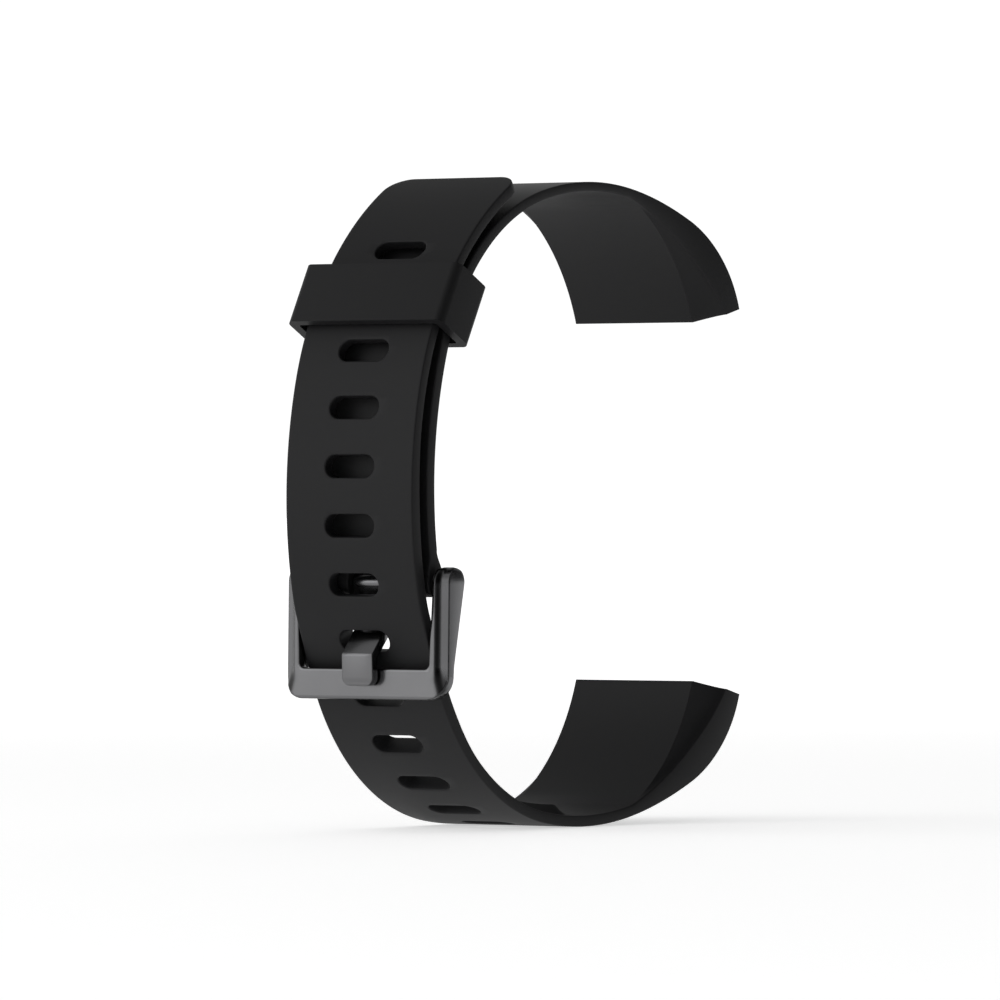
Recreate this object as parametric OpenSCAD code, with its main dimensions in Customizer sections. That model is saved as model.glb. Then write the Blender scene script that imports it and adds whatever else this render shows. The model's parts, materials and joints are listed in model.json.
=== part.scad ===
// Two-piece silicone wrist band for a small fitness tracker, buckled in a loop.
// X points from the buckle side to the gap for the tracker, Y runs across the
// strap, Z is up. The loop stands on its outside at Z = 0. Millimetres.

/* [Straps] */
// Width of both straps
strap_w = 16; // [12:0.5:22]
// Thickness of both straps
strap_t = 1.2; // [0.8:0.1:2]
// Arcs of the strap with holes, outer face, as [radius, degrees]; radius 0 is [0, straight length]
hole_path = [[44.2, 33.3], [24.6, 60], [0, 6.3], [15.4, 9.5], [46.8, 26.8], [32.9, 49]];
// Arcs of the buckle's strap, outer face, as [radius, degrees]
buckle_path = [[39.2, 38.8], [24.8, 57.6], [45, 31.1]];
// Radius of the rounded corners of the strap's tip
tip_r = 2.6; // [0.5:0.1:6]

/* [Holes] */
// Number of holes
hole_n = 13; // [5:1:14]
// Distance between holes, along the strap
hole_pitch = 6.04; // [5:0.02:8]
// Distance from the tip to the middle of the first hole
hole_first = 12.65; // [8:0.05:20]
// Length of a hole, across the strap
hole_l = 6.2; // [4:0.1:9]
// Height of a hole, along the strap
hole_h = 2.35; // [1.5:0.05:4]

// Rib along the free holes, on the wrist side: thickness, width
rib = [1.1, 10.4];
// Where the rib starts, as its distance from the end face
rib_at = 30; // [26:0.5:36]

/* [Tracker ends] */
// Distance of the outer edge of each end face from the middle of the loop, towards the gap
end_x = 28; // [22:0.5:34]
// Height of that edge above or below the middle of the loop
end_z = 20.3; // [15:0.1:26]
// Lean of the end faces, degrees
end_lean = 14; // [0:1:25]
// Width of the band at the end faces
end_w = 18.8; // [16:0.2:24]
// Whole thickness at the end faces
end_t = 6.25; // [4:0.05:8]
// Thickness of the flared outer layer at the end faces
flare_t = 2.7; // [1.5:0.1:4]
// Width of the raised wrist pad
pad_w = 15; // [10:0.5:18]
// Radius of the shoulder over each end, and its arc in degrees
shoulder = [13.7, 51];
// Size of the socket for the tracker's tongue: across, thick, deep
socket = [12, 2.4, 5];

/* [Keeper] */
// Outside size of the keeper: through the straps, across, along
keeper = [5.75, 19.6, 6.7];
// Wall of the keeper, over the straps and at the sides
keeper_wall = [0.8, 1.1];
// Where the keeper sits, degrees round the loop from the gap side
keeper_at = 150; // [125:1:155]

/* [Buckle] */
// Outside width of the frame
frame_w = 20.2; // [17:0.1:26]
// Width of the frame's opening
frame_open = 16.9; // [15:0.1:23]
// Height of the frame's bottom bar
bar_h = 3.1; // [2:0.05:5]
// Distance from the spring bar to the bottom edge of the frame
frame_l = 11.85; // [9:0.05:16]
// Thickness of the frame at the bottom bar
bar_t = 0.95; // [0.8:0.05:2]
// Thickness of the frame's arms at the spring bar
arm_t = 3.2; // [1.5:0.05:4]
// Radius of the frame's outer corners
corner_r = 1.7; // [0.5:0.1:4]
// Width of the tongue
tongue_w = 3.9; // [2:0.1:6]
// Thickness of the tongue's plate
tongue_t = 0.95; // [0.6:0.05:1.5]

/* [Spring bar] */
// Radius of the spring bar's tube
tube_r = 0.75; // [0.5:0.05:1]
// Half length of the tube
tube_l = 6.9; // [5:0.1:8]
// Radius of the pins at its ends
pin_r = 0.44; // [0.3:0.01:0.6]
// Running clearance round everything that turns or slides on the bar
run = 0.06; // [0.02:0.01:0.1]

/* [Hidden] */
// A point at angle a on the unit circle, in the plane of the loop.
function ray(a) = [cos(a), sin(a)];

// Turns a path into pieces with places: arcs are [radius, centre, from, to] and
// straights are [0, start, angle, length]; s is 1 going up from the gap and -1 going down.
function walk(path, p, a, s, i = 0) =
    i >= len(path) ? []
    : path[i][0] == 0
        ? concat([[0, p, a, path[i][1]]],
                 walk(path, p + s * path[i][1] * [-sin(a), cos(a)], a, s, i + 1))
        : let (r = path[i][0], c = p - r * ray(a), b = a + s * path[i][1])
          concat([[r, c, a, b]], walk(path, c + r * ray(b), b, s, i + 1));
function run_of(e) = e[0] == 0 ? e[3] : e[0] * abs(e[3] - e[2]) * PI / 180;
function total(ch, i = 0) = i >= len(ch) ? 0 : run_of(ch[i]) + total(ch, i + 1);

// The place and outward angle at distance d along a path, on its outer face.
function spot(ch, d, s, i = 0) =
    d > run_of(ch[i]) && i < len(ch) - 1 ? spot(ch, d - run_of(ch[i]), s, i + 1)
    : ch[i][0] == 0 ? [ch[i][1] + s * d * [-sin(ch[i][2]), cos(ch[i][2])], ch[i][2]]
    : let (a = ch[i][2] + s * d / ch[i][0] * 180 / PI) [ch[i][1] + ch[i][0] * ray(a), a];

// How far every second piece of a strap stands proud, and laps over its neighbours.
proud = 0.01;
lap = 0.3;

upper = walk(concat([shoulder], buckle_path), [end_x, end_z], end_lean, 1);
lower = walk(concat([shoulder], hole_path), [end_x, -end_z], -end_lean, -1);
lower_len = total(lower);
tip = spot(lower, lower_len, -1);
upper_end = spot(upper, total(upper), 1);

// The loop stands on the lowest point of the strap with holes.
base = lower[1][0] + proud - lower[1][1][1];

// The spring bar's axis lies inside the end of the buckle's strap.
axis = upper_end[0] - strap_t / 2 * ray(upper_end[1]);
barrel_r = 1.5;
notch_w = tongue_w + 0.5;

// Circles that bound the wrist pad and the flared layer from inside, upper end.
pad_r = 22;
flare_r = 30;
pad_c = [end_x, end_z] - end_t * ray(end_lean) - pad_r * ray(18.3);
flare_c = [end_x, end_z] - flare_t * ray(end_lean) - flare_r * ray(33);
flare_x = 11;
flare_rise = (end_w - strap_w) / 2;
fill_arc = 19;
flank_r = (pow(end_x - flare_x, 2) + pow(flare_rise, 2)) / (2 * flare_rise);

// The keeper turns about the middle of the two straps' bends.
keeper_c = (upper[2][1] + lower[len(lower) - 1][1]) / 2;
keeper_at_r = 28.2;
keeper_lean = 151.5;

// The frame hangs from the spring bar and leans out a little at the bottom.
bar_front = -25.45;
hole_d = 1.15;
tongue_r = 1.15;
tongue_bend = [[-24.1, -12.6], [-26.65, -15.55], [-26.55, -18.65]];

rubber = [0.10, 0.10, 0.105];
metal = [0.36, 0.36, 0.37];
steel = [0.62, 0.62, 0.63];
big = 200;
$fn = 96;

// Puts a child drawn in the XZ plane of the loop at point p, its X turned to angle a.
module at(p, a) {
    translate([p[0], 0, p[1]]) rotate([0, -a, 0]) children();
}

// A cylinder along Y, centred on the strap's middle.
module across(p, r, w) {
    translate([p[0], 0, p[1]]) rotate([90, 0, 0]) cylinder(r = r, h = w, center = true);
}

// A flat shape drawn in X and Z, given width w along Y.
module slab(w) {
    rotate([90, 0, 0]) linear_extrude(w, center = true) children();
}

// Part of a ring between two radii, or of a disc when r0 is 0.
module ring_part(c, r0, r1, from, to, w) {
    translate([c[0], 0, c[1]]) rotate([90, 0, 0]) rotate([0, 0, min(from, to)])
        rotate_extrude(angle = abs(to - from), $fn = 256)
            translate([r0, -w / 2]) square([r1 - r0, w]);
}

// A strap's even layer along its path, after the shoulder. Every second piece is proud by
// a hair and laps over its neighbours, so the pieces join into one solid.
module layer(ch, s) {
    for (i = [1 : len(ch) - 1]) {
        e = ch[i];
        p = i % 2 == 1 ? proud : 0;
        o = i % 2 == 1 ? lap : 0;
        if (e[0] > 0) {
            turn = o / e[0] * 180 / PI;
            last = i == len(ch) - 1 ? 0 : turn;
            ring_part(e[1], e[0] - strap_t - p, e[0] + p, e[2] - s * turn, e[3] + s * last,
                      strap_w + 2 * p);
        } else {
            at(e[1], e[2]) translate([-strap_t - p, -strap_w / 2 - p, s > 0 ? -o : -e[3] - o])
                cube([strap_t + 2 * p, strap_w + 2 * p, e[3] + 2 * o]);
        }
    }
}

// The rib, on the first two arcs of the strap with holes.
module rib_part(e, from, to, p) {
    ring_part(e[1], e[0] - strap_t - rib[0] - p, e[0] - strap_t / 2, from, to, rib[1] + 2 * p);
}

module hole_rib() {
    start = lower[1][2] - (rib_at - run_of(lower[0])) / lower[1][0] * 180 / PI;
    rib_part(lower[1], start, lower[1][3] - 0.2, 0);
    rib_part(lower[2], lower[2][2] + 0.4, lower[2][3] - 0.4, proud);
}

// The stretch under the shoulder of the upper strap, solid from the outside in to a circle;
// next_r is the radius of the arc that follows the shoulder.
module fill(next_r, c, r, w) {
    s_c = [end_x, end_z] - shoulder[0] * ray(end_lean);
    turn = end_lean + shoulder[1];
    n_c = s_c + (shoulder[0] - next_r) * ray(turn);
    difference() {
        union() {
            ring_part(s_c, 0, shoulder[0], end_lean, turn, w);
            ring_part(n_c, next_r - 12, next_r + proud / 2, turn - 0.3, turn + fill_arc,
                      w - 4 * proud);
        }
        across(c, r, w + 1);
    }
}

// Seen from above, the band widens along a hollow curve to the end face.
module flared_plan() {
    linear_extrude(40) difference() {
        translate([0, -end_w / 2]) square([end_x + 2, end_w]);
        for (y = [-1, 1]) {
            translate([flare_x, y * (strap_w / 2 + flank_r)]) circle(r = flank_r, $fn = 512);
            translate([-1, y > 0 ? strap_w / 2 : -end_w / 2 - 1])
                square([flare_x + 1, flare_rise + 1]);
        }
    }
}

// The socket opens in the end face and runs in square to it.
module socket_cut() {
    at([end_x, end_z], end_lean)
        translate([-end_t / 2 - 0.3 - socket[1] / 2, -socket[0] / 2, -1])
            cube([socket[1], socket[0], socket[2] + 1]);
}

// The thick end that meets the tracker, for the upper strap.
module tracker_end(next_r) {
    fill(next_r, pad_c, pad_r, pad_w);
    intersection() {
        fill(next_r, flare_c, flare_r, end_w + 1);
        flared_plan();
    }
}

module rounded_slot(l, h, depth) {
    translate([-depth, -(l - h) / 2, -h / 2]) cube([2 * depth, l - h, h]);
    for (y = [-1, 1]) {
        translate([0, y * (l - h) / 2, 0]) rotate([0, 90, 0])
            cylinder(d = h, h = 2 * depth, center = true);
    }
}

// Cuts the tip's two corners to quarter rounds.
module tip_corners() {
    for (y = [-1, 1]) {
        difference() {
            translate([-3, y > 0 ? strap_w / 2 - tip_r : -strap_w / 2 - 1, 0])
                cube([6, tip_r + 1, tip_r + 1]);
            translate([-4, y * (strap_w / 2 - tip_r), 0]) rotate([0, 90, 0])
                cylinder(r = tip_r, h = 8);
        }
    }
}

module hole_strap() {
    color(rubber) translate([0, 0, base]) difference() {
        union() {
            layer(lower, -1);
            mirror([0, 0, 1]) tracker_end(hole_path[0][0]);
            hole_rib();
        }
        mirror([0, 0, 1]) socket_cut();
        for (i = [0 : hole_n - 1]) {
            h = spot(lower, lower_len - hole_first - i * hole_pitch, -1);
            at(h[0], h[1]) rounded_slot(hole_l, hole_h, 2.5);
        }
        at(tip[0], tip[1]) mirror([0, 0, 1]) translate([0, 0, -tip_r]) tip_corners();
    }
}

module buckle_strap() {
    color(rubber) translate([0, 0, base]) difference() {
        union() {
            layer(upper, 1);
            tracker_end(buckle_path[0][0]);
            across(axis, barrel_r, strap_w);
        }
        socket_cut();
        across(axis, tube_r + run, strap_w + 1);
        translate([axis[0] - 3, -notch_w / 2, axis[1] - 3]) cube([6, notch_w, 5.2]);
    }
}

module rounded_box(x, y, r) {
    square([x - 2 * r, y], center = true);
    square([x, y - 2 * r], center = true);
    for (i = [-1, 1]) {
        for (j = [-1, 1]) {
            translate([i * (x / 2 - r), j * (y / 2 - r)]) circle(r = r);
        }
    }
}

module keeper_loop() {
    hold = [keeper[0] - 2 * keeper_wall[0], keeper[1] - 2 * keeper_wall[1]];
    color(rubber) translate([0, 0, base]) at(keeper_c + keeper_at_r * ray(keeper_at), keeper_lean)
        linear_extrude(keeper[2], center = true) difference() {
            rounded_box(keeper[0], keeper[1], 0.5);
            rounded_box(hold[0], hold[1], 0.25);
        }
}

// The frame from the side: thin at the bottom bar, thick and round at the top.
module frame_side() {
    foot = axis[1] - frame_l;
    slab(frame_w) polygon([
        [bar_front, foot], [bar_front + bar_t, foot], [bar_front + bar_t, foot + bar_h],
        [axis[0] + arm_t / 2, axis[1]], [axis[0] - arm_t / 2, axis[1]],
        [bar_front, foot + bar_h]]);
    across(axis, arm_t / 2, frame_w);
}

// The frame from the front: a bar with rounded corners below two arms.
module frame_front() {
    h = frame_l + arm_t;
    translate([-40, 0, axis[1] - frame_l]) rotate([90, 0, 90]) linear_extrude(30) difference() {
        union() {
            translate([-frame_w / 2, corner_r]) square([frame_w, h - corner_r]);
            translate([-frame_w / 2 + corner_r, 0]) square([frame_w - 2 * corner_r, h]);
            for (y = [-1, 1]) {
                translate([y * (frame_w / 2 - corner_r), corner_r]) circle(r = corner_r);
            }
        }
        translate([-frame_open / 2, bar_h + 0.4]) square([frame_open, h]);
        translate([-frame_open / 2 + 0.4, bar_h]) square([frame_open - 0.8, h]);
        for (y = [-1, 1]) {
            translate([y * (frame_open / 2 - 0.4), bar_h + 0.4]) circle(r = 0.4);
        }
    }
}

module buckle_frame() {
    color(metal) translate([0, 0, base]) difference() {
        intersection() {
            frame_side();
            frame_front();
        }
        across(axis, pin_r + run, frame_open + 2 * hole_d);
    }
}

// The tongue's plate: down inside the strap, out through a hole, over the bar.
module tongue_plate() {
    a = tongue_bend[0];
    b = tongue_bend[1];
    c = tongue_bend[2];
    back = [tongue_t, 0];
    slab(tongue_w) polygon([
        axis + [-1.02, -0.5], a, b, c, c + back, b + back + [0, -0.35],
        a + back + [0, -0.35], axis + [0, -1.1]]);
}

module buckle_tongue() {
    color(metal) translate([0, 0, base]) difference() {
        union() {
            across(axis, tongue_r, tongue_w);
            tongue_plate();
        }
        across(axis, tube_r + run, tongue_w + 1);
        for (y = [-1, 1]) {
            translate([-30, y * tongue_w / 2, tongue_bend[2][1]]) difference() {
                translate([0, -0.9, -0.1]) cube([8, 1.8, 1]);
                translate([-1, -y * 0.9, 0.9]) rotate([0, 90, 0]) cylinder(r = 0.9, h = 10);
            }
        }
    }
}

// The tube is open inside, with a neck at each end that keeps the pins in.
module spring_bar_tube() {
    color(steel) translate([0, 0, base]) difference() {
        across(axis, tube_r, 2 * tube_l);
        across(axis, pin_r + 2 * run, 2 * tube_l - 0.8);
        across(axis, pin_r + run, 2 * tube_l + 1);
    }
}

// One end's pin, with the head that the spring pushes and the collar for a tool.
module spring_tip(y) {
    head = [4.9, 5.5];
    collar = [8.05, 8.3];
    reach = frame_open / 2 + hole_d - 0.1;
    color(steel) translate([axis[0], 0, base + axis[1]]) rotate([-y * 90, 0, 0]) {
        translate([0, 0, head[0]]) cylinder(r = pin_r, h = reach - head[0]);
        translate([0, 0, head[0]]) cylinder(r = pin_r + 1.2 * run, h = head[1] - head[0]);
        translate([0, 0, collar[0]]) cylinder(r = 0.68, h = collar[1] - collar[0]);
    }
}

module near_spring_tip() {
    spring_tip(-1);
}

module far_spring_tip() {
    spring_tip(1);
}

// A plain sleeve stands in for the coil between the two pins' heads.
module spring_bar_spring() {
    color(steel) translate([0, 0, base]) difference() {
        across(axis, 0.48, 9.8);
        across(axis, 0.32, 10);
    }
}

hole_strap();
buckle_strap();
keeper_loop();
buckle_frame();
buckle_tongue();
spring_bar_tube();
spring_bar_spring();
near_spring_tip();
far_spring_tip();
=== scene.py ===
"""Visual model of a buckled two-piece silicone band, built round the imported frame.

Shapes are worked out in millimetres in the plane of the loop (x towards the gap, z up from
the middle of the loop, y across the strap) and written to meshes in metres. Angles are in
degrees. A distance along a strap is measured on its outer face, from its end face.
"""
import json
import math

import bmesh
import bpy
from mathutils import Matrix, Vector


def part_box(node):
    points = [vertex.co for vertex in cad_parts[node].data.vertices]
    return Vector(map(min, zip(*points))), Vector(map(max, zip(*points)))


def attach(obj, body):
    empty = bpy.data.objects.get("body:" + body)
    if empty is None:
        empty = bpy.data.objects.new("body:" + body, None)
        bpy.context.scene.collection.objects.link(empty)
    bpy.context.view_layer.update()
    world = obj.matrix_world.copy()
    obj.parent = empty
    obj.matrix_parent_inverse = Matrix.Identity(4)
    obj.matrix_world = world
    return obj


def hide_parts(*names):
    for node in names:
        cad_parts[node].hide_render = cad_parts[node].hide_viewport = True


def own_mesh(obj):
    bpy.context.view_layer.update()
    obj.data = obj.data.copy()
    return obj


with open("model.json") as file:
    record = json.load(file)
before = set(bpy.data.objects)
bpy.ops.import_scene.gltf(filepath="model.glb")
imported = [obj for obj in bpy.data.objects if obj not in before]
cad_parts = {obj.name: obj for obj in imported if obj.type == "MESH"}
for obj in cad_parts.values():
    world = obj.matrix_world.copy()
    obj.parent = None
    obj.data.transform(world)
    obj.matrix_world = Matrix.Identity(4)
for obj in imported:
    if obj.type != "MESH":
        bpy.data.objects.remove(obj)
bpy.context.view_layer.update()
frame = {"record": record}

MM = 0.001


def cad_box(node):
    """A CAD node's lowest and highest corners, in millimetres."""
    low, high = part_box(node)
    return Vector(low) / MM, Vector(high) / MM


def joint_pos(name):
    """Where a joint is, in millimetres."""
    joints = frame["record"]["behaviour"]["joints"]
    return Vector(next(j for j in joints if j["name"] == name)["pos_m"]) / MM


# ---------------------------------------------------------------- driving sizes

HOLE_BOX = cad_box("hole_strap")
FRAME_BOX = cad_box("buckle_frame")
KEEPER_BOX = cad_box("keeper_loop")

# both straps
STRAP_W = 16.0
STRAP_T = 1.2
EDGE = 0.15
STEP = 0.6

# their ends, which grow wider along a hollow curve, and thicker under a wrist pad
END_X = HOLE_BOX[1].x
END_W = HOLE_BOX[1].y - HOLE_BOX[0].y
END_Z = 20.3
END_LEAN = 14.0
END_T = 6.25
END_RUN = 26
FLARE_X = 11.0
FLARE_T = 2.7
FLARE_R = 30.0
FLARE_LEAN = 33
PAD_W = 15.0
PAD_R = 22.0
PAD_LEAN = 18.3
FLANK_POWERS = (1.5, 2.0)
FLANK_RUN = 7.0
SOCKET = (12.0, 2.4, 5.0)
SOCKET_UNDER = 0.3
SOCKET_CORNER = 0.7
SOCKET_LEAD = 0.35

# their paths: (radius, turn) for an arc and (0, length) for a straight
SHOULDER = (13.7, 51.0)
HOLE_PATH = ((44.2, 33.3), (24.6, 60), (0, 6.3), (15.4, 9.5), (46.8, 26.8), (32.9, 49))
BUCKLE_PATH = ((39.2, 38.8), (24.8, 57.6), (45, 31.1))

# the strap with holes: its thickness, and what is added between the places in its run
HOLE_STRAP_T = 1.15
HOLE_STRAP_MORE = 0.25
HOLE_STRAP_RUN = (52, 60, 80, 92)
TIP_R = 2.6
TIP_GAP = 0.4
HOLE_N = 13
HOLE_PITCH = 6.04
HOLE_FIRST = 12.65
HOLE_L = 6.2
HOLE_H = 2.35

# its raised band along the free holes, and the channel in it for the tongue
RIB_T = 1.1
RIB_HALF = 5.2
RIB_SOFT = 0.8
RIB_RUN = (30.0, 32.0, 69.9 - RIB_SOFT, 69.9)
CHANNEL_FROM = 64.0
CHANNEL_HALF = 2.15
CHANNEL_SOFT = 0.25
CHANNEL_DEEP = 0.35
CHANNEL_RUN = (60, 61.5, 72, 73)

# the strap with the buckle: its thickness, and the barrel at its end, which swells between
# two places short of the axis, is sliced finely, and has a notch for the tongue
BUCKLE_STRAP_T = (0.95, 1.25)
BUCKLE_STRAP_RUN = (30, 62)
BARREL_R = 1.5
BORE_R = 0.81
SWELL = (-3.2, -0.95)
FINE_FROM = 3.4
FINE_STEP = 0.15
NOTCH_W = 4.4
NOTCH_L = 2.7
NOTCH_CORNER = 0.5
BARREL_CORNER = 0.25
BARREL_SHORT = 0.03

# the keeper: its depth, width and length along the strap, and its inner and outer corners
KEEPER_SIZE = Vector((5.75, 19.6, 6.7))
KEEPER_WALL = (0.8, 1.1)
KEEPER_LEAN = 151.5
KEEPER_CORNERS = (0.35, 0.9)
KEEPER_RIM = 0.2
KEEPER_RIM_ANGLE = 1.2

# the tongue: the bends down its front, how far its front and back are inset at each bend
# with the corner there, and the lip at its foot
TONGUE_W = 3.9
TONGUE_T = 0.95
TONGUE_R = 1.15
TONGUE_EDGE = 0.12
TONGUE_BENDS = ((-24.1, -12.6), (-26.65, -15.55), (-26.55, -18.65))
TONGUE_BARREL = (-90, 206)
TONGUE_START = (-1.02, -0.5)
TONGUE_FRONT = (((TONGUE_EDGE, 0.05), 0.6), ((TONGUE_EDGE, 0.06), 0.42),
                ((TONGUE_EDGE, TONGUE_EDGE), 0.12))
TONGUE_BACK = (((-0.05, -0.35 + TONGUE_EDGE), 0.9), ((-TONGUE_EDGE, -0.3), 0.3),
               ((-TONGUE_EDGE, TONGUE_EDGE), 0.12))
LIP_R = 0.9
LIP_STEPS = 9

# the frame's bar and arms. ARM_MORE is how much thicker the arms are at the foot, above the
# bar and by the spring bar, from ARM_FROM out; EDGE_MOST is the share of the thickness that
# a rounded edge takes at most; PIN_HOLE is the room round a pin and beyond its end
ARM_R = 1.6
ARM_TOP = 0.985
BAR_T = 0.95
BAR_H = 3.1
CORNER_R = 2.3
OPEN_LOW = 8.15
OPEN_HIGH = 8.6
CHAMFER = 0.14
ARM_INNER_CORNERS = (0.75, 0.3)
ARM_OUTER_CORNER = 0.35
ARM_FOOT = 0.2
ARM_FROM = (8.17, 8.27)
ARM_MORE = (0.5, 0.7, 0.1)
FRAME_STEP = 0.25
EDGE_MOST = 0.3
PIN_HOLE = (0.06, 0.1)

# the facet and the valley down the front of each arm: (width, depth), and each one's share
# of its width at the foot, with the height where it starts to grow and the height it takes.
# DEEPEST is the share of the arm's thickness that both may take together
FACET = (0.9, 0.27)
FACET_FOOT = (0.1, 0.9, 2.2)
FACET_OUT = 0.15
VALLEY = (0.48, 0.4)
VALLEY_FOOT = (0.6, 0.0, 2.0)
DEEPEST = 0.6
FACET_STEP = 0.08
FACET_SLICES = 20

# painted shade on the plating: a painted dark reflection on the narrow edges, painted shade
# across the valley, and a little painted shade on the strip inside it
PAINTED_EDGE_SHADE = 0.8
PAINTED_EDGE_BAND = (0.05, 0.95)
PAINTED_VALLEY_BAND = (-0.35, 0.4, 0.65, 1.45)
PAINTED_STRIP_SHADE = 0.2
STRIP_FROM = (0.9, 1.3)
STRIP_ABOVE_BAR = (-0.2, 0.6)

# the spring bar's sleeve, pins and coil; a rolled or rounded end is a row of points, each
# (in from the end, in from the radius)
TUBE_R = 0.75
TUBE_L = 6.9
TUBE_ROLL = ((0.15, 0.0), (0.05, 0.03), (0.0, 0.12))
TUBE_LIP = 0.4
TUBE_INSIDE = 0.06
PIN_R = 0.44
PIN_ROOM = 0.07
PIN_HEAD = (4.9, 5.5)
PIN_STEP = 0.06
PIN_COLLAR = (8.05, 8.3)
COLLAR_R = 0.68
COLLAR_EDGE = 0.05
PIN_END = 9.5
PIN_ROUND = ((0.15, 0.0), (0.04, 0.08), (0.0, 0.2))
COIL_R = 0.4
WIRE_R = 0.08
COIL_TURNS = 11

# the camera: its turn from +Y, where it looks across the loop, and where it aims from there,
# to the left and up
VIEW_TURN = 54.4
VIEW_X = 13.5
VIEW_AIM = (9.14, 0.18)
VIEW_LENS = 343.8

TINY = 1e-4


# ---------------------------------------------------------------- the straps' paths

def ray(a):
    return Vector((math.cos(math.radians(a)), math.sin(math.radians(a))))


def walk(path, start, angle, sense):
    """Arcs as (radius, centre, from, to) and straights as (0, start, angle, length)."""
    pieces, p, a = [], Vector(start), angle
    for radius, turn in path:
        if radius == 0:
            pieces.append((0, p, a, turn))
            p = p + sense * turn * ray(a + 90)
            continue
        centre = p - radius * ray(a)
        pieces.append((radius, centre, a, a + sense * turn))
        a += sense * turn
        p = centre + radius * ray(a)
    return pieces


def run_of(piece):
    return piece[3] if piece[0] == 0 else piece[0] * math.radians(abs(piece[3] - piece[2]))


def spot(chain, d, sense):
    """The point on the outer face at distance d, and the outward angle there."""
    for piece in chain:
        if d <= run_of(piece) or piece is chain[-1]:
            break
        d -= run_of(piece)
    if piece[0] == 0:
        return piece[1] + sense * d * ray(piece[2] + 90), piece[2]
    a = piece[2] + sense * math.degrees(d / piece[0])
    return piece[1] + piece[0] * ray(a), a


UPPER = walk((SHOULDER,) + BUCKLE_PATH, (END_X, END_Z), END_LEAN, 1)
LOWER = walk((SHOULDER,) + HOLE_PATH, (END_X, -END_Z), -END_LEAN, -1)
UPPER_LEN = sum(run_of(p) for p in UPPER)
LOWER_LEN = sum(run_of(p) for p in LOWER)
PAD_C = Vector((END_X, END_Z)) - END_T * ray(END_LEAN) - PAD_R * ray(PAD_LEAN)
FLARE_C = Vector((END_X, END_Z)) - FLARE_T * ray(END_LEAN) - FLARE_R * ray(FLARE_LEAN)

AXIS_3D = joint_pos("buckle_hinge")
upper_end, upper_angle = spot(UPPER, UPPER_LEN, 1)
AXIS = upper_end - STRAP_T / 2 * ray(upper_angle)
BASE = AXIS_3D.z - AXIS.y


def ramp(start, length, x):
    return min(max((x - start) / length, 0.0), 1.0)


def smooth(a, b, x):
    t = ramp(a, b - a, x)
    return t * t * (3 - 2 * t)


def hump(places, x):
    """0 outside four rising places, 1 between the inner two, and smooth between."""
    return smooth(places[0], places[1], x) * smooth(places[3], places[2], x)


def mix(a, b, t):
    return a + (b - a) * t


# ---------------------------------------------------------------- mesh helpers

def make_object(name, bm, sharp=32):
    """A linked object from a bmesh in millimetres, smooth but for its sharp edges."""
    bmesh.ops.recalc_face_normals(bm, faces=bm.faces[:])
    if bm.calc_volume(signed=True) < 0:
        bmesh.ops.reverse_faces(bm, faces=bm.faces[:])
    bmesh.ops.scale(bm, vec=(MM, MM, MM), verts=bm.verts[:])
    mesh = bpy.data.meshes.new(name)
    bm.to_mesh(mesh)
    bm.free()
    obj = bpy.data.objects.new(name, mesh)
    bpy.context.scene.collection.objects.link(obj)
    mesh.shade_smooth()
    mesh.set_sharp_from_angle(angle=math.radians(sharp))
    return obj


def arc(centre, radius, a, b, steps):
    return [Vector(centre) + radius * ray(mix(a, b, i / steps)) for i in range(steps + 1)]


def rounded(corners):
    """A closed outline from (point, radius) corners, each corner an arc."""
    out = []
    for i, (p, r) in enumerate(corners):
        p = Vector(p)
        before = (Vector(corners[i - 1][0]) - p).normalized()
        after = (Vector(corners[(i + 1) % len(corners)][0]) - p).normalized()
        if r <= 0:
            out.append(p)
            continue
        half = before.angle(after) / 2
        centre = p + (before + after).normalized() * r / math.sin(half)
        start = p + before * r / math.tan(half) - centre
        stop = p + after * r / math.tan(half) - centre
        sweep = math.atan2(start.x * stop.y - start.y * stop.x, start.dot(stop))
        a = math.degrees(math.atan2(start.y, start.x))
        steps = max(3, round(abs(math.degrees(sweep)) / 9))
        out += arc(centre, r, a, a + math.degrees(sweep), steps)
    return out


def mirrored(corners):
    """An outline's (point, radius) corners, after the same ones mirrored in Y."""
    return [((x, -y), r) for (x, y), r in reversed(corners)] + corners


def box_outline(x, y, r):
    """A rectangle with rounded corners, x and y its half sizes."""
    return rounded([((-x, -y), r), ((x, -y), r), ((x, y), r), ((-x, y), r)])


def stadium(x, y, length, height, steps=14):
    """A hole's outline, long across the strap, run backwards as a hole is."""
    r, h = height / 2, (length - height) / 2
    return (arc((x, y + h), r, 180, 0, steps) + arc((x, y - h), r, 0, -180, steps))


def plate(outlines, half, edge, rings):
    """A flat plate, Z from -half to half, with rounded edges. The first outline runs
    anticlockwise, holes clockwise; each is drawn edge inside the plate's real outline."""
    curve = bpy.data.curves.new("plate", "CURVE")
    curve.dimensions = "2D"
    curve.fill_mode = "BOTH"
    curve.extrude = half - edge
    curve.bevel_depth = edge
    curve.bevel_resolution = rings
    for points in outlines:
        spline = curve.splines.new("POLY")
        spline.points.add(len(points) - 1)
        for place, p in zip(spline.points, points):
            place.co = (p.x, p.y, 0, 1)
        spline.use_cyclic_u = True
    obj = bpy.data.objects.new("plate", curve)
    bpy.context.scene.collection.objects.link(obj)
    mesh = bpy.data.meshes.new_from_object(
        obj.evaluated_get(bpy.context.evaluated_depsgraph_get()))
    bpy.data.objects.remove(obj)
    bpy.data.curves.remove(curve)
    bm = bmesh.new()
    bm.from_mesh(mesh)
    bpy.data.meshes.remove(mesh)
    bmesh.ops.remove_doubles(bm, verts=bm.verts[:], dist=2 * TINY)
    bmesh.ops.dissolve_limit(bm, angle_limit=math.radians(0.05), verts=bm.verts[:],
                             edges=bm.edges[:])
    return bm


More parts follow.
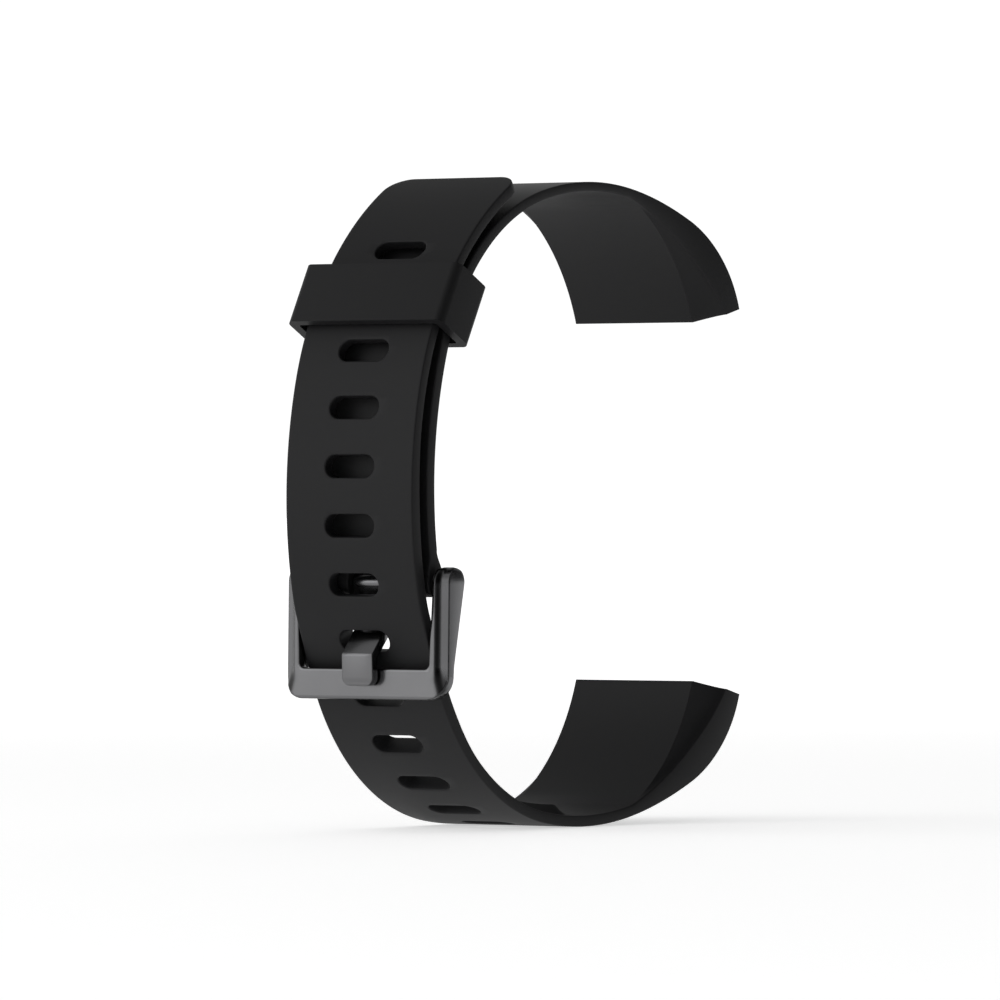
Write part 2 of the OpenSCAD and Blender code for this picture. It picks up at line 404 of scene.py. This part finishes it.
def slice_up(bm, axis, places):
    """Cuts a mesh along planes square to one axis, so that it can be bent there."""
    normal = Vector([1.0 if i == axis else 0.0 for i in range(3)])
    for place in places:
        bmesh.ops.bisect_plane(bm, geom=bm.verts[:] + bm.edges[:] + bm.faces[:],
                               dist=TINY, plane_co=normal * place, plane_no=normal)


def steps_between(a, b, step):
    n = max(1, round((b - a) / step))
    return [mix(a, b, (i + 0.5) / n) for i in range(n)]


def depth_of(z, half, edge, thick):
    """Depth below the outer face of a plate's point at z, once it is thick millimetres
    thick; the rounded edges keep their own size."""
    d = half - z
    if d <= edge:
        return d
    if d >= 2 * half - edge:
        return thick - (2 * half - d)
    return mix(edge, thick - edge, (d - edge) / (2 * half - 2 * edge))


def cut(obj, cutter):
    """Takes the cutter's volume out of obj for good, at millimetre scale for precision."""
    for mesh in (obj.data, cutter.data):
        mesh.transform(Matrix.Scale(1 / MM, 4))
    mod = obj.modifiers.new("cut", "BOOLEAN")
    mod.operation = "DIFFERENCE"
    mod.solver = "EXACT"
    mod.object = cutter
    depsgraph = bpy.context.evaluated_depsgraph_get()
    mesh = bpy.data.meshes.new_from_object(obj.evaluated_get(depsgraph))
    obj.modifiers.clear()
    old = obj.data
    obj.data = mesh
    bpy.data.meshes.remove(old)
    mesh.name = obj.name
    bm = bmesh.new()
    bm.from_mesh(mesh)
    bmesh.ops.remove_doubles(bm, verts=bm.verts[:], dist=5 * TINY)
    bmesh.ops.holes_fill(bm, edges=[e for e in bm.edges if e.is_boundary], sides=12)
    bm.to_mesh(mesh)
    bm.free()
    mesh.transform(Matrix.Scale(MM, 4))
    spent = cutter.data
    bpy.data.objects.remove(cutter)
    bpy.data.meshes.remove(spent)
    obj.data.shade_smooth()
    obj.data.set_sharp_from_angle(angle=math.radians(32))


def skin(bm, rings, closed=False, caps=False):
    """Faces from each ring of verts to the next; a ring of one vert is a point. Closed
    rings run back to the first one, and caps cover both ends."""
    pairs = list(zip(rings, rings[1:]))
    if closed:
        pairs.append((rings[-1], rings[0]))
    for a, b in pairs:
        steps = max(len(a), len(b))
        for i in range(steps):
            j = (i + 1) % steps
            corners = [a[i % len(a)], a[j % len(a)], b[j % len(b)], b[i % len(b)]]
            bm.faces.new(list(dict.fromkeys(corners)))
    if caps:
        bm.faces.new(rings[0])
        bm.faces.new(rings[-1][::-1])


def hoop(bm, x, y, z, radius, steps):
    """A circle of verts square to Y, or one vert if its radius is 0."""
    if radius == 0:
        return [bm.verts.new((x, y, z))]
    turns = [math.tau * i / steps for i in range(steps)]
    return [bm.verts.new((x + radius * math.cos(t), y, z + radius * math.sin(t)))
            for t in turns]


def rod(name, radius, reach, steps=64):
    """A cylinder round the straps' axis, reach to each side, for cutting bores."""
    bm = bmesh.new()
    skin(bm, [hoop(bm, AXIS.x, y, AXIS.y + BASE, radius, steps) for y in (-reach, reach)],
         caps=True)
    return make_object(name, bm)


def lathe(name, profile, steps=56):
    """A turned piece on the spring bar's axis, from its (y, radius) outline. A radius of 0
    closes it on the axis; otherwise the outline closes on itself."""
    bm = bmesh.new()
    skin(bm, [hoop(bm, AXIS_3D.x, y, AXIS_3D.z, r, steps) for y, r in profile],
         closed=profile[0][1] != 0)
    return make_object(name, bm)


# ---------------------------------------------------------------- straps

def half_width(x):
    """Half the band's width, which grows along a hollow curve towards the end face."""
    rise = (END_W - STRAP_W) / 2
    r = ((END_X - FLARE_X) ** 2 + rise ** 2) / (2 * rise)
    t = min(max(x - FLARE_X, 0.0), END_X - FLARE_X)
    return STRAP_W / 2 + r - math.sqrt(r * r - t * t)


def inward(p, n, centre, radius):
    """How far a point on the outer face is from a circle, along the way in."""
    q = p - centre
    b = q.dot(n)
    inside = b * b - (q.dot(q) - radius * radius)
    return b - math.sqrt(inside) if inside > 0 else 0.0


def flat_edge(chain, sense, length, e):
    """Both long sides of a strap's flat outline, e inside it, at even steps."""
    stations = [e] + [STEP * i for i in range(1, int(length / STEP))]
    wide = []
    for s in stations:
        p, a = spot(chain, s, sense)
        wide.append(half_width(p.x) - e)
    near = [Vector((s, -w)) for s, w in zip(stations, wide)]
    far = [Vector((s, w)) for s, w in zip(stations, wide)][::-1]
    return near, far


def rib(s, y):
    """What the strap with holes has beyond its thickness, on the wrist side: a raised band
    with soft ends and sides, less the channel for the tongue."""
    across = smooth(RIB_HALF, RIB_HALF - RIB_SOFT, abs(y))
    beside = smooth(CHANNEL_HALF, CHANNEL_HALF + CHANNEL_SOFT, abs(y))
    if s > CHANNEL_FROM:
        across *= beside
    within = smooth(CHANNEL_HALF + CHANNEL_SOFT, CHANNEL_HALF, abs(y))
    return RIB_T * hump(RIB_RUN, s) * across - CHANNEL_DEEP * hump(CHANNEL_RUN, s) * within


def thickness(s, y, p, n, strap_t):
    """The band's thickness at a station: even along the strap, then a wrist pad between two
    creases, with a hollow flank that fills out towards the end face."""
    up = Vector((p.x, abs(p.y)))
    out = Vector((n.x, n.y if p.y > 0 else -n.y))
    side, pad = strap_t, strap_t
    if s < END_RUN:
        side = max(inward(up, out, FLARE_C, FLARE_R), strap_t)
        pad = max(inward(up, out, PAD_C, PAD_R), side)
    crease = PAD_W / 2
    if abs(y) <= crease or pad - side < TINY:
        return pad if abs(y) <= crease else side
    u = min((abs(y) - crease) / (half_width(p.x) - crease), 1.0)
    power = mix(FLANK_POWERS[0], FLANK_POWERS[1], smooth(0.0, FLANK_RUN, s))
    return side + (pad - side) * (1 - u) ** power


def bend(bm, chain, sense, strap_t, shape=None):
    """Bends a flat strap round its path. Flat X runs along it, Z is out of its face. A shape
    gives the offset from the outer face where it doesn't return None."""
    for v in bm.verts:
        s, y, z = v.co
        p, a = spot(chain, s, sense)
        n = ray(a)
        out = shape(s, z) if shape else None
        if out is None:
            thick = thickness(s, y, p, n, strap_t(s))
            if sense < 0:
                thick += rib(s, y)
            out = -depth_of(z, STRAP_T / 2, EDGE, thick)
        q = p + n * out
        v.co = (q.x, y, q.y + BASE)


# where the flat straps are cut lengthwise, closest together beside the wrist pad's crease
CREASES = [sign * y for sign in (-1, 1)
           for y in (1.5, CHANNEL_HALF, CHANNEL_HALF + CHANNEL_SOFT, 3,
                     RIB_HALF - RIB_SOFT, 4.8, RIB_HALF, 6, 6.8, 7.2, 7.42, PAD_W / 2,
                     7.6, 7.72, 7.88, 8.1, 8.4, 8.7, 9.0, 9.2)]


def socket_cutter(sense):
    """The socket for the tracker's tongue, with a small lead-in at its mouth."""
    across, thick, deep = SOCKET
    edge = Vector((END_X, sense * END_Z))
    n = ray(sense * END_LEAN)
    along = Vector((-n.y, n.x)) * sense
    middle = edge - n * (END_T / 2 + SOCKET_UNDER)
    bm = bmesh.new()
    rings = []
    for d, grow in ((-1.0, SOCKET_LEAD), (0.0, SOCKET_LEAD), (SOCKET_LEAD, 0.0), (deep, 0.0)):
        verts = []
        for c in box_outline(across / 2 + grow, thick / 2 + grow, SOCKET_CORNER + grow):
            q = middle + along * d + n * c.y
            verts.append(bm.verts.new((q.x, c.x, q.y + BASE)))
        rings.append(verts)
    skin(bm, rings, caps=True)
    return make_object("socket", bm)


def hole_strap_t(s):
    """The strap with holes is thicker where it lies over the wrist's side."""
    return HOLE_STRAP_T + HOLE_STRAP_MORE * hump(HOLE_STRAP_RUN, s)


def buckle_strap_t(s):
    """The strap with the buckle grows thicker along its middle."""
    return mix(BUCKLE_STRAP_T[0], BUCKLE_STRAP_T[1], smooth(*BUCKLE_STRAP_RUN, s))


def build_hole_strap():
    length = LOWER_LEN
    near, far = flat_edge(LOWER, -1, length - TIP_R - TIP_GAP, EDGE)
    x, w, r = length - TIP_R, STRAP_W / 2 - TIP_R, TIP_R - EDGE
    tip = arc((x, -w), r, -90, 0, 12) + arc((x, w), r, 0, 90, 12)
    outlines = [near + tip + far]
    for i in range(HOLE_N):
        place = length - HOLE_FIRST - i * HOLE_PITCH
        outlines.append(stadium(place, 0, HOLE_L + 2 * EDGE, HOLE_H + 2 * EDGE))
    bm = plate(outlines, STRAP_T / 2, EDGE, 2)
    slice_up(bm, 1, CREASES)
    slice_up(bm, 0, steps_between(STEP, length, STEP))
    bend(bm, LOWER, -1, hole_strap_t)
    obj = make_object("silicone_strap_with_holes", bm)
    cut(obj, socket_cutter(-1))
    return obj


def barrel_shape(s, z):
    """The strap's end swells round the spring bar: offset from the outer face, or None
    away from the barrel."""
    half = STRAP_T / 2
    from_axis = s - UPPER_LEN
    if from_axis < SWELL[0]:
        return None
    if from_axis < SWELL[1]:
        full = math.sqrt(BARREL_R ** 2 - SWELL[1] ** 2)
        swell = mix(half, full, smooth(SWELL[0], SWELL[1], from_axis))
    else:
        swell = math.sqrt(max(BARREL_R ** 2 - from_axis ** 2, 0.01))
    return -half + z / half * swell


def build_buckle_strap():
    """The end's outline starts inside the even sides', and its first and last points, which
    only set its direction, are left out."""
    length = UPPER_LEN
    near, far = flat_edge(UPPER, 1, length - 4, EDGE)
    w, notch = STRAP_W / 2 - EDGE, NOTCH_W / 2 + EDGE
    stop = length + BARREL_R - BARREL_SHORT - EDGE
    top = length - NOTCH_L - EDGE
    end = rounded(mirrored([((top, notch), NOTCH_CORNER), ((stop, notch), BARREL_CORNER),
                            ((stop, w), BARREL_CORNER), ((length - 6, w), 0)]))
    bm = plate([near + end[1:-1] + far], STRAP_T / 2, EDGE, 2)
    slice_up(bm, 1, CREASES)
    slice_up(bm, 0, steps_between(STEP, length - FINE_FROM, STEP)
             + steps_between(length - FINE_FROM, length + BARREL_R, FINE_STEP))
    bend(bm, UPPER, 1, buckle_strap_t, barrel_shape)
    obj = make_object("silicone_strap_with_buckle", bm)
    cut(obj, socket_cutter(1))
    cut(obj, rod("bore", BORE_R, STRAP_W))
    return obj


# ---------------------------------------------------------------- keeper

def build_keeper():
    """A square loop round both straps, with its four rims rounded."""
    low, high = KEEPER_BOX
    centre = Vector(((low.x + high.x) / 2, (low.z + high.z) / 2 - BASE))
    through, along = ray(KEEPER_LEAN), ray(KEEPER_LEAN + 90)
    half = KEEPER_SIZE / 2
    inner = box_outline(half.x - KEEPER_WALL[0], half.y - KEEPER_WALL[1], KEEPER_CORNERS[0])
    outer = box_outline(half.x, half.y, KEEPER_CORNERS[1])
    bm = bmesh.new()
    rings = []
    for ring, side in ((outer, -1), (outer, 1), (inner, 1), (inner, -1)):
        verts = []
        for c in ring:
            q = centre + through * c.x + along * side * half.z
            verts.append(bm.verts.new((q.x, c.y, q.y + BASE)))
        rings.append(verts)
    skin(bm, rings, closed=True)
    rims = [e for e in bm.edges if e.is_manifold and e.calc_face_angle() > KEEPER_RIM_ANGLE]
    bmesh.ops.bevel(bm, geom=rims, offset=KEEPER_RIM, segments=4, profile=0.5, affect="EDGES")
    return make_object("silicone_keeper", bm, sharp=40)


# ---------------------------------------------------------------- buckle

def build_frame():
    """The U of the frame is drawn flat, X up from the bottom edge and Y across, and then
    given its front and back from the side."""
    low, high = FRAME_BOX
    foot, front = low.z, low.x
    reach = AXIS_3D.z - foot
    top = reach + ARM_R * ARM_TOP
    arm_foot = BAR_H + ARM_FOOT
    w, e = high.y + FACET_OUT, CHAMFER

    def opening(h):
        return mix(OPEN_LOW, OPEN_HIGH, (h - BAR_H) / (top - BAR_H))

    def edges(h):
        """How far in from the side the facet and the valley end; both narrow at the foot."""
        share, start, length = FACET_FOOT
        outer = FACET[0] * mix(share, 1.0, ramp(start, length, h))
        share, start, length = VALLEY_FOOT
        inner = (FACET[0] + VALLEY[0]) * mix(share, 1.0, ramp(start, length, h))
        return outer, inner

    def set_back(u, h):
        """How far behind the front face the arm is, u in from its side: a shallow outer
        facet, and a steeper valley between it and the inner strip."""
        outer, inner = edges(h)
        if u < outer:
            return VALLEY[1] + FACET[1] * (1 - max(u, 0.0) / outer)
        return VALLEY[1] * (1 - min((u - outer) / (inner - outer), 1.0))

    def painted_shade_at(u, h):
        """Painted shade, dark down in the valley's recess and a little darker on the arms'
        strips.
        """
        outer, inner = edges(h)
        t = (u - outer) / (inner - outer)
        above_bar = smooth(*STRIP_ABOVE_BAR, h - BAR_H)
        return max(hump(PAINTED_VALLEY_BAND, t), PAINTED_STRIP_SHADE * above_bar * smooth(*STRIP_FROM, t))

    def side_view(h):
        """The front and back of the bar and the arms, and how much thicker the arms are."""
        if h <= arm_foot:
            return front, front + BAR_T, mix(ARM_MORE[0], ARM_MORE[1], h / arm_foot)
        t = (h - arm_foot) / (reach - arm_foot)
        more = max(mix(ARM_MORE[1], ARM_MORE[2], t), ARM_MORE[2])
        if h <= reach:
            a = mix(front, AXIS_3D.x - ARM_R, t)
            return a, mix(front + BAR_T, AXIS_3D.x + ARM_R, t), more
        round_off = math.sqrt(max(ARM_R ** 2 - (h - reach) ** 2, 0.0))
        return AXIS_3D.x - round_off, AXIS_3D.x + round_off, more

    outline = mirrored([((BAR_H - e, opening(BAR_H) + e), ARM_INNER_CORNERS[0]),
                        ((top - e, opening(top) + e), ARM_INNER_CORNERS[1]),
                        ((top - e, w - e), ARM_OUTER_CORNER), ((e, w - e), CORNER_R - e)])
    bm = plate([rounded(outline[::-1])], 1.0, e, 1)
    slice_up(bm, 0, steps_between(0, top, FRAME_STEP))
    slice_up(bm, 1, [sign * (w - FACET_STEP * i)
                     for i in range(1, FACET_SLICES + 1) for sign in (-1, 1)])
    slice_up(bm, 1, [sign * y for y in ARM_FROM for sign in (-1, 1)])
    # painted shade on the frame's front, held per vertex and read by the material
    painted_shade = bm.verts.layers.float.new("painted_shade")
    for v in bm.verts:
        h, y, z = v.co
        u = w - abs(y)
        a, b, more = side_view(h)
        b += more * smooth(*ARM_FROM, abs(y))
        a += set_back(u, h) * min((b - a) * DEEPEST / (FACET[1] + VALLEY[1]), 1.0)
        edge = min(e, (b - a) * EDGE_MOST)
        d = 1.0 - z
        if d <= e:
            x = a + d * edge / e
        elif d >= 2 - e:
            x = b - (2 - d) * edge / e
        else:
            x = mix(a + edge, b - edge, (d - e) / (2 - 2 * e))
        v.co = (x, y, foot + h)
        # a painted dark reflection along the front's rounded edge, and painted shade in the
        # valley and on the strips
        if PAINTED_EDGE_BAND[0] * e < d < PAINTED_EDGE_BAND[1] * e:
            v[painted_shade] = PAINTED_EDGE_SHADE
        elif d <= e:
            v[painted_shade] = painted_shade_at(u, h)
    obj = make_object("buckle_frame_piece", bm, sharp=14)
    cut(obj, rod("pin_holes", PIN_R + PIN_HOLE[0], PIN_END + PIN_HOLE[1]))
    return obj


def build_tongue():
    """The tongue's side view, extruded across, with rounded corners on its lip."""
    e, half = TONGUE_EDGE, TONGUE_W / 2
    barrel = arc(AXIS, TONGUE_R - e, *TONGUE_BARREL, 40)

    def corners(insets, shift):
        return [(Vector(p) + Vector((shift, 0)) + Vector(inset), r)
                for p, (inset, r) in zip(TONGUE_BENDS, insets)]

    sheet = ([(AXIS + Vector((TONGUE_START[0] + e, TONGUE_START[1])), 0)]
             + corners(TONGUE_FRONT, 0) + corners(TONGUE_BACK, TONGUE_T)[::-1]
             + [(AXIS + Vector((0, -TONGUE_R + e)), 0)])
    bore = arc(AXIS, BORE_R + e, 360, 0, 40)[:-1]
    bm = plate([barrel + rounded(sheet)[1:-1], bore], half, e, 1)
    foot = Vector(TONGUE_BENDS[-1]).y
    slice_up(bm, 1, [foot + LIP_R * i / LIP_STEPS for i in range(1, LIP_STEPS + 1)])
    painted_shade = bm.verts.layers.float.new("painted_shade")
    for v in bm.verts:
        x, z, y = v.co
        h = z - foot
        # a painted dark reflection along the middle of the tongue's rounded side edges
        if half - PAINTED_EDGE_BAND[1] * e < abs(y) < half - PAINTED_EDGE_BAND[0] * e:
            v[painted_shade] = PAINTED_EDGE_SHADE
        if h < LIP_R:
            narrow = LIP_R - math.sqrt(max(LIP_R ** 2 - (LIP_R - max(h, 0.0)) ** 2, 0.0))
            y *= (half - narrow) / half
        v.co = (x, y, z + BASE)
    return make_object("buckle_tongue_piece", bm, sharp=28)


# ---------------------------------------------------------------- spring bar

def build_tube():
    """The sleeve, with rolled ends that close in round the pins."""
    neck, lip = PIN_R + PIN_ROOM, TUBE_L - TUBE_LIP
    far = [(TUBE_L - d, TUBE_R - fall) for d, fall in TUBE_ROLL]
    far += [(TUBE_L, neck), (lip, neck), (lip, neck + TUBE_INSIDE)]
    return lathe("spring_bar_sleeve", far + [(-y, r) for y, r in reversed(far)])


def build_tip(name, sign):
    """A pin: its head in the sleeve, its collar by the arm, and its rounded end."""
    head, collar = PIN_HEAD, PIN_COLLAR
    wide, ease = PIN_R + PIN_STEP, COLLAR_EDGE
    profile = [(head[0], 0), (head[0], PIN_R), (head[0] + PIN_STEP, wide),
               (head[1] - ease, wide), (head[1], PIN_R),
               (collar[0], PIN_R), (collar[0], COLLAR_R - PIN_STEP),
               (collar[0] + ease, COLLAR_R), (collar[1] - ease, COLLAR_R),
               (collar[1], COLLAR_R - PIN_STEP), (collar[1], PIN_R)]
    profile += [(PIN_END - d, PIN_R - fall) for d, fall in PIN_ROUND] + [(PIN_END, 0)]
    return lathe(name, [(sign * y, r) for y, r in profile])


def build_coil(name, sign):
    """Half of the coil between the two pins' heads, as a tube round a helix."""
    steps, sides = 20 * COIL_TURNS, 8
    length = PIN_HEAD[0] - 2 * WIRE_R
    bm = bmesh.new()
    rings = []
    for i in range(steps + 1):
        turn = math.tau * COIL_TURNS * i / steps
        out = Vector((math.cos(turn), 0, math.sin(turn)))
        middle = AXIS_3D + out * COIL_R
        middle.y = sign * (WIRE_R + length * i / steps)
        ring = []
        for k in range(sides):
            a = math.tau * k / sides
            ring.append(bm.verts.new(middle + WIRE_R * (math.cos(a) * out
                                                        + math.sin(a) * Vector((0, 1, 0)))))
        rings.append(ring)
    skin(bm, rings, caps=True)
    return make_object(name, bm, sharp=80)


# ---------------------------------------------------------------- materials

def map_range(tree, source, reach, result, soft=False):
    """A node that maps the source's values from reach to result, and its output."""
    node = tree.nodes.new("ShaderNodeMapRange")
    if soft:
        node.interpolation_type = "SMOOTHSTEP"
    for name, value in zip(("From Min", "From Max", "To Min", "To Max"), reach + result):
        node.inputs[name].default_value = value
    tree.links.new(source, node.inputs["Value"])
    return node.outputs["Result"]


def surface(name, colour, metallic, roughness, spread, grain, depth, specular=0.5,
            stretch=(1, 1, 1), vary=0.08):
    """A finish with fine grain in its height and slow changes in its gloss and colour,
    darker where the mesh carries painted shade."""
    mat = bpy.data.materials.new(name)
    mat.use_nodes = True
    nodes, links = mat.node_tree.nodes, mat.node_tree.links
    shader = nodes["Principled BSDF"]
    shader.inputs["Metallic"].default_value = metallic
    shader.inputs["Specular IOR Level"].default_value = specular
    coords = nodes.new("ShaderNodeTexCoord")
    mapping = nodes.new("ShaderNodeMapping")
    mapping.inputs["Scale"].default_value = stretch
    links.new(coords.outputs["Object"], mapping.inputs["Vector"])

    def noise(scale, detail):
        node = nodes.new("ShaderNodeTexNoise")
        node.inputs["Scale"].default_value = scale
        node.inputs["Detail"].default_value = detail
        links.new(mapping.outputs["Vector"], node.inputs["Vector"])
        return node.outputs["Fac"]

    slow, fine = noise(90, 3), noise(grain, 4)
    gloss = map_range(mat.node_tree, slow, (0.0, 1.0), (roughness - spread, roughness + spread))
    links.new(gloss, shader.inputs["Roughness"])
    tints = nodes.new("ShaderNodeValToRGB")
    for stop, place, scale in zip(tints.color_ramp.elements, (0.3, 0.7), (1 - vary, 1 + vary)):
        stop.position = place
        stop.color = [c * scale for c in colour] + [1]
    links.new(slow, tints.inputs["Fac"])
    # painted shade: the mesh's painted shade value darkens the base colour, to a tenth at most
    painted_shade = nodes.new("ShaderNodeAttribute")
    painted_shade.attribute_name = "painted_shade"
    scaled = nodes.new("ShaderNodeVectorMath")
    scaled.operation = "SCALE"
    links.new(tints.outputs["Color"], scaled.inputs[0])
    links.new(map_range(mat.node_tree, painted_shade.outputs["Fac"], (0.0, 1.0), (1.0, 0.1)),
              scaled.inputs["Scale"])
    links.new(scaled.outputs["Vector"], shader.inputs["Base Color"])
    bump = nodes.new("ShaderNodeBump")
    bump.inputs["Strength"].default_value = 1.0
    bump.inputs["Distance"].default_value = depth
    links.new(fine, bump.inputs["Height"])
    links.new(bump.outputs["Normal"], shader.inputs["Normal"])
    return mat


def dress(obj, mat):
    obj.data.materials.clear()
    obj.data.materials.append(mat)


SILICONE = surface("satin_silicone", (0.0085, 0.0085, 0.0092), 0.0, 0.56, 0.04, 9000, 2.5e-6,
                   specular=0.2)
KEEPER_SILICONE = surface("keeper_silicone", (0.0075, 0.0075, 0.0081), 0.0, 0.52, 0.04,
                          9000, 2.5e-6, specular=0.18)
GUNMETAL = surface("gunmetal_plate", (0.145, 0.145, 0.149), 1.0, 0.22, 0.03, 5000, 2e-7)
STEEL = surface("turned_steel", (0.52, 0.52, 0.53), 1.0, 0.26, 0.04, 4000, 1.5e-6,
                stretch=(1, 6, 1))


# ---------------------------------------------------------------- pieces on their bodies

def place(obj, body, mat, slot, node):
    dress(obj, mat)
    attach(obj, body)
    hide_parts(node)
    return obj


place(build_hole_strap(), "closed_strap", SILICONE, "silicone", "hole_strap")
place(build_buckle_strap(), "closed_strap", SILICONE, "silicone", "buckle_strap")
place(build_keeper(), "keeper", KEEPER_SILICONE, "silicone", "keeper_loop")
place(build_frame(), "buckle", GUNMETAL, "gunmetal", "buckle_frame")
place(build_tongue(), "tongue", GUNMETAL, "gunmetal", "buckle_tongue")
place(build_tube(), "closed_strap", STEEL, "steel", "spring_bar_tube")
place(build_tip("near_pin_piece", -1), "near_tip", STEEL, "steel", "near_spring_tip")
place(build_tip("far_pin_piece", 1), "far_tip", STEEL, "steel", "far_spring_tip")
near_coil = place(build_coil("near_half_of_coil", -1), "closed_strap", STEEL, "steel",
                  "spring_bar_spring")
far_coil = place(build_coil("far_half_of_coil", 1), "closed_strap", STEEL, "steel",
                 "spring_bar_spring")
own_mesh(near_coil)
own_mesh(far_coil)


# ---------------------------------------------------------------- floor, light, camera

def build_floor():
    """A wide pale floor with a glow of its own, which grows away from the band."""
    reach, across = 40000, 24
    places = [(i / across - 0.5) * 2 * reach for i in range(across + 1)]
    bm = bmesh.new()
    grid = [[bm.verts.new((x, y, 0)) for y in places] for x in places]
    for i in range(across):
        for j in range(across):
            bm.faces.new((grid[i][j], grid[i + 1][j], grid[i + 1][j + 1], grid[i][j + 1]))
    obj = make_object("pale_floor", bm)
    white = surface("floor_white", (0.9, 0.9, 0.9), 0.0, 0.8, 0.0, 400, 1e-6, specular=0.1,
                    vary=0.0)
    nodes, links = white.node_tree.nodes, white.node_tree.links
    shader = nodes["Principled BSDF"]
    shader.inputs["Emission Color"].default_value = (1, 1, 1, 1)
    coords = nodes.new("ShaderNodeTexCoord")
    away = nodes.new("ShaderNodeVectorMath")
    away.operation = "LENGTH"
    links.new(coords.outputs["Object"], away.inputs[0])
    glow = map_range(white.node_tree, away.outputs["Value"], (0.1, 1.2), (0.55, 0.9), soft=True)
    links.new(glow, shader.inputs["Emission Strength"])
    dress(obj, white)


def build_world():
    """White round the back and one side, and dim overhead and before the near edges."""
    world = bpy.data.worlds.new("studio")
    bpy.context.scene.world = world
    world.use_nodes = True
    tree = world.node_tree
    nodes, links = tree.nodes, tree.links
    sky = nodes["Background"]
    coords = nodes.new("ShaderNodeTexCoord")
    facing = nodes.new("ShaderNodeVectorMath")
    facing.operation = "DOT_PRODUCT"
    facing.inputs[1].default_value = Vector((-0.1, 0.9, 0.3)).normalized()
    links.new(coords.outputs["Generated"], facing.inputs[0])
    split = nodes.new("ShaderNodeSeparateXYZ")
    links.new(coords.outputs["Generated"], split.inputs["Vector"])
    both = nodes.new("ShaderNodeMath")
    both.operation = "MULTIPLY"
    links.new(map_range(tree, facing.outputs["Value"], (-0.45, 0.4), (0.06, 1.05), soft=True),
              both.inputs[0])
    links.new(map_range(tree, split.outputs["Z"], (0.2, 0.85), (1.0, 0.3), soft=True),
              both.inputs[1])
    links.new(both.outputs["Value"], sky.inputs["Strength"])
    sky.inputs["Color"].default_value = (1, 1, 1, 1)


def area_light(name, place_at, look_at, size, power):
    data = bpy.data.lights.new(name, "AREA")
    data.shape = "RECTANGLE"
    data.size, data.size_y = size
    data.energy = power
    obj = bpy.data.objects.new(name, data)
    bpy.context.scene.collection.objects.link(obj)
    obj.location = place_at
    obj.rotation_euler = (look_at - place_at).to_track_quat("-Z", "Y").to_euler()


def build_camera():
    """A metre off, level with the middle of the loop, looking across it from the buckle's
    side, and turned a little so that the band isn't in the middle."""
    turn = math.radians(VIEW_TURN)
    away = Vector((math.sin(turn), math.cos(turn), 0))
    right = Vector((math.cos(turn), -math.sin(turn), 0))
    centre = Vector((VIEW_X, 0, BASE)) * MM
    aim = centre - right * VIEW_AIM[0] * MM + Vector((0, 0, VIEW_AIM[1] * MM))
    data = bpy.data.cameras.new("camera")
    data.sensor_width = 36
    data.lens = VIEW_LENS
    data.clip_start = 0.05
    data.clip_end = 20
    camera = bpy.data.objects.new("camera", data)
    bpy.context.scene.collection.objects.link(camera)
    camera.location = centre - away
    camera.rotation_euler = (aim - camera.location).to_track_quat("-Z", "Y").to_euler()
    bpy.context.scene.camera = camera


build_floor()
build_world()
middle = Vector((0, 0, BASE * MM))
area_light("top_softbox", Vector((-0.1, 0.1, 0.6)), middle, (0.6, 0.6), 0.3)
area_light("left_softbox", Vector((-0.45, 0.35, 0.25)), middle, (0.4, 0.5), 0.6)
area_light("near_softbox", Vector((0.06, -0.6, 0.12)), middle, (0.24, 0.4), 0.16)
build_camera()
bpy.context.scene.view_settings.view_transform = "Standard"
